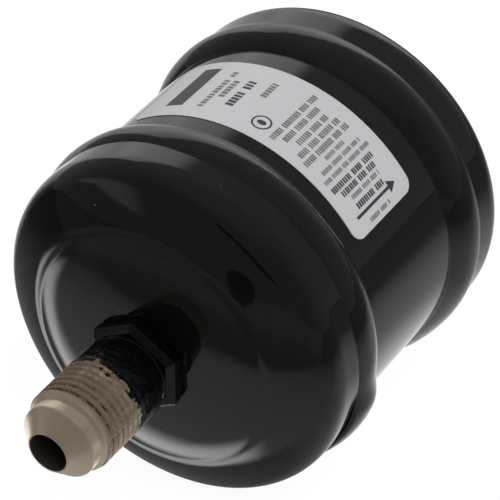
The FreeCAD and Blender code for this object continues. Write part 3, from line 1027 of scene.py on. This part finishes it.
def make_print(name, ink, grids):
    """One mesh of thin plates from several sets of grids."""
    low = shell_radius + label_thickness * 0.9
    high = shell_radius + label_thickness + ink_thickness
    points, faces, offset = [], [], 0
    for x, v in grids:
        more_points, more_faces = plates(x, v, low, high)
        points.append(more_points)
        faces.append(more_faces + offset)
        offset += len(more_points)
    return make_piece(name, np.concatenate(points), np.concatenate(faces), ink)


ring_x, ring_v = -5.6, 45.6
ring_radii = (1.5, 1.85)
dot_reach = (0.6, 0.9)
arrow_base, arrow_length = 3.5, 2.1
arrow_v, arrow_half_width = 22.25, 1.15
arrow_taper = 0.98


def arrow_and_ring():
    """A triangle, a ring and a dot, each a grid bent into shape: the dot is a square made round."""
    s, t = np.meshgrid(np.linspace(0.0, 1.0, 8), np.linspace(-1.0, 1.0, 6), indexing="ij")
    turn, size = np.meshgrid(np.linspace(0.0, 2.0 * math.pi, 49), np.array(ring_radii), indexing="ij")
    across = 2.0 * s - 1.0
    shapes = [
        (arrow_base + arrow_length * s, arrow_v + arrow_half_width * t * (1.0 - arrow_taper * s)),
        (ring_x + size * np.cos(turn), ring_v + size * np.sin(turn)),
        (ring_x + dot_reach[0] * across * np.sqrt(1.0 - t ** 2 / 2),
         ring_v + dot_reach[1] * t * np.sqrt(1.0 - across ** 2 / 2)),
    ]
    return [(x[None] * MM, v[None] * MM) for x, v in shapes]


chance = np.random.default_rng(5)
dark_boxes = [row_blocks(*row, chance) for row in dark_rows]
dark_boxes.append(np.array(dark_boxes_alone))
pale_boxes = [row_blocks(*row, chance) for row in pale_rows]
label = make_label_sheet()
dark_grids = [block_grids(np.concatenate(dark_boxes))] + arrow_and_ring()
pale_grids = [block_grids(np.concatenate(pale_boxes))]
label_print = make_print("label_print", label_ink, dark_grids)
label_small_print = make_print("label_small_print", pale_ink, pale_grids)

# %% [markdown]
# Each new piece is listed with the finish of the record it shows, which nothing here reads, and
# with the solids it stands for, which are hidden. Nothing moves on this part, so every piece rides
# on the one body.

# %% Pieces and the frame
dressed = [
    (shell, "black_paint", ["shell"]),
    (inlet_cap, "black_paint", ["inlet_cap"]),
    (outlet_cap, "black_paint", ["outlet_cap"]),
    (inlet_bead, "black_paint", ["inlet_seam_weld"]),
    (outlet_bead, "black_paint", ["outlet_seam_weld"]),
    (inlet_fitting, "plated_steel", ["inlet_fitting"]),
    (outlet_fitting, "plated_steel", ["outlet_fitting"]),
    (label, "label_paper", ["label"]),
    (label_print, "label_paper", []),
    (label_small_print, "label_paper", []),
]
for piece, slot, nodes in dressed:
    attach(piece, "root")
    if nodes:
        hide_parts(*nodes)
print("dressed pieces:", len(dressed))

# %% [markdown]
# The studio is a pale sheet under the drum, a soft grey room and two large lamps. Black gloss needs
# something to mirror, so the sheet isn't even in a mirror ray: it is bright close round the drum
# and dims with distance, and it shines towards the window on the far side and in one narrow strip
# beside the inlet. A mirror ray reads that level from where it lands on the sheet. The camera sees
# the sheet white, and its matt part still takes the drum's shadow. Places are in metres here.

# %% Floor
floor_z = -crest_radius
floor_reach = 0.9
seen_level = 1.07
seen_share = 0.89
mirrored_share = 0.97
near_reach = 0.055
near_level = 0.42
far_levels = (0.12, 0.58)
front_levels = (0.09, 0.20)
near_front_loss = 0.28
front_edge = (-0.092, -0.110)
window_azimuth = math.radians(56.0)
sheet_window_level = 0.55
stand_azimuth = math.radians(-173.5)
stand_edge = (0.9935, 0.9960)
stand_shade = 0.95
strip_line = (-0.0392, 0.0892, -4.366)
strip_spread = 0.065
strip_level = 2.3
foot_loss = 0.55


def heading(x, y, azimuth):
    """How far a place, or a direction, lies towards an azimuth."""
    return x * math.cos(azimuth) + y * math.sin(azimuth)


def sheet_glow(x, y, z, distance):
    """Bright close round the drum, fainter beyond, and dim at the front, with a stand's shade."""
    spread = distance / near_reach
    near_glow = spread.ramp(1.20, 0.68, 0.0, near_level) * x.ramp(-0.025, 0.0)
    far_glow = spread.ramp(3.3, 1.4, *far_levels) * (1.0 - x.ramp(0.0, -0.04) * near_front_loss)
    front = (x + y.maths("MAXIMUM", 0.0) * 0.2).ramp(*front_edge)
    stand = heading(x, y, stand_azimuth) / (distance ** 2.0 + z ** 2.0) ** 0.5
    shade = stand.ramp(*stand_edge) * x.ramp(-0.15, -0.25) * stand_shade
    front_glow = spread.ramp(1.8, 5.0, *front_levels) * (1.0 - shade)
    return (near_glow + far_glow) * (1.0 - front) + front_glow * front


def sheet_strip(x, y):
    """A bright strip along a parabola in y, wider far out, and how much is left at its dark foot."""
    start, lean, bend = strip_line
    middle = y * lean + y * y * bend + start
    across = (x - middle) / (1.0 + (y / strip_spread) ** 2.0) / MM
    body = across.ramp(4.0, 0.5) * across.ramp(-7.0, -1.0)
    strip = body * y.ramp(-0.025, -0.014) * y.ramp(0.12, 0.09)
    foot = across.ramp(0.5, 4.0) * x.ramp(-0.005, -0.02) * y.ramp(-0.045, -0.02)
    return strip * strip_level, 1.0 - foot * foot_loss


def sheet_level(recipe):
    """Level of the sheet in a mirror ray: glow, strip with its foot, and the window's side."""
    x, y, z = recipe.parts(recipe.place())
    distance = (x * x + y * y) ** 0.5
    strip, left_at_foot = sheet_strip(x, y)
    facing = heading(x, y, window_azimuth) / distance
    window = facing.ramp(0.86, 0.97) * distance.ramp(0.06, 0.10) * sheet_window_level
    return sheet_glow(x, y, z, distance) * left_at_foot + strip + window


def make_floor():
    recipe = Recipe("pale_floor")
    rays = recipe.add("ShaderNodeLightPath").socket.node
    camera_ray, glossy_ray, clear_ray = [Wire(recipe, rays.outputs[name]) for name in (
        "Is Camera Ray", "Is Glossy Ray", "Is Transmission Ray")]
    shown = (camera_ray + glossy_ray + clear_ray).maths("MINIMUM", 1.0)
    level = glossy_ray * sheet_level(recipe) + (1.0 - glossy_ray) * seen_level
    matt = recipe.add("ShaderNodeBsdfDiffuse", inputs={"Color": colour(0.86, 0.86, 0.86)})
    glow = recipe.add("ShaderNodeEmission", inputs={"Color": colour(1.0, 1.0, 1.0), "Strength": level})
    share = camera_ray * seen_share + glossy_ray * mirrored_share + clear_ray * seen_share
    white = recipe.add("ShaderNodeMixShader", inputs={0: share * shown, 1: matt, 2: glow})
    recipe.add("ShaderNodeOutputMaterial", inputs={"Surface": white})
    side = (-floor_reach, floor_reach)
    mesh = bpy.data.meshes.new("floor")
    mesh.from_pydata([(x, y, floor_z) for x in side for y in side], [], [(2, 3, 1, 0)])
    mesh.materials.append(recipe.holder)
    add_object("floor", mesh)
    print("floor material:", len(recipe.tree.nodes), "nodes")


make_floor()

# %% [markdown]
# The room is a background whose level depends on the direction of a ray. It lights the drum from all
# sides, and the gloss mirrors its shapes: a window, a fainter card to one side of it, and a dark
# stand with a boom out beyond the inlet. The two lamps add the light that matt surfaces and the
# shadow need. They are hidden from mirror rays, which see the room's shapes in their place.

# %% Room and lamps
room_level = 0.15
window_middle = math.radians(42.0)
window_levels = (0.50, 0.88)
side_azimuth = math.radians(128.0)
side_level = 0.33
spill_level = 0.10
diagonal = 0.7071
boom_plane = (0.405, -0.572, 0.713)
boom_offset = 0.035
lamp_gain = 4.0


def room_window(x, y, z):
    """The window's level by direction: brighter with height, cut off at one side and at the top."""
    towards = heading(x, y, window_middle)
    across = y * math.cos(window_middle) - x * math.sin(window_middle)
    panes = towards.ramp(0.70, 0.80) * across.ramp(0.32, 0.25) * z.ramp(0.74, 0.55)
    return panes * z.ramp(0.05, 0.25, *window_levels)


def room_walls(x, y, z):
    """The card, the light spilled on two walls and the ceiling, and the room's plain level."""
    beside = heading(x, y, side_azimuth)
    side = beside.ramp(0.90, 0.97) * z.ramp(0.45, 0.36) * z.ramp(0.12, 0.17) * side_level
    window_wall = heading(x, y, window_middle).ramp(0.0, 0.8) * spill_level
    ceiling = z.ramp(0.6, 1.0) * spill_level
    other_wall = ((x - y) * diagonal).ramp(0.3, 0.9) * spill_level
    return side + (window_wall + ceiling + other_wall) + room_level


def room_shade(x, y, z):
    """What the stand and its boom leave: a small disc of directions, and a band along a plane."""
    disc = heading(x, y, stand_azimuth).ramp(*stand_edge)
    off_boom = (x * boom_plane[0] + y * boom_plane[1] + z * boom_plane[2] + boom_offset).size()
    band = off_boom.ramp(0.075, 0.055) * x.ramp(-0.82, -0.86) * y.ramp(0.04, 0.0) * z.ramp(0.12, 0.16)
    return 1.0 - disc.maths("MAXIMUM", band) * stand_shade


def make_room():
    world = bpy.data.worlds.new("room")
    bpy.context.scene.world = world
    recipe = Recipe("room", world)
    x, y, z = recipe.parts(recipe.add("ShaderNodeTexCoord", output="Generated"))
    level = room_window(x, y, z) + room_walls(x, y, z) * room_shade(x, y, z)
    back = recipe.add("ShaderNodeBackground", inputs={"Color": colour(1.0, 1.0, 1.0), "Strength": level})
    recipe.add("ShaderNodeOutputWorld", inputs={"Surface": back})
    print("room:", len(recipe.tree.nodes), "nodes")


def make_lamp(name, azimuth, elevation, distance, width, height, level):
    """Area lamp that faces the drum; its power grows with its area and its level."""
    towards = direction(math.radians(azimuth), math.radians(elevation))
    lamp = bpy.data.lights.new(name, "AREA")
    lamp.shape = "RECTANGLE"
    lamp.size, lamp.size_y = width, height
    lamp.energy = level * math.pi * width * height * lamp_gain
    holder = add_object(name, lamp)
    holder.visible_glossy = False
    facing = towards.to_track_quat("Z", "Y").to_matrix().to_4x4()
    holder.matrix_world = Matrix.Translation(towards * distance) @ facing
    print(f"{name}: {lamp.energy:.2f} W")


make_room()
make_lamp("window_card", azimuth=62.0, elevation=30.0, distance=1.2, width=0.9, height=0.7, level=0.4)
make_lamp("top_card", azimuth=-110.0, elevation=60.0, distance=1.2, width=0.8, height=0.8, level=1.35)
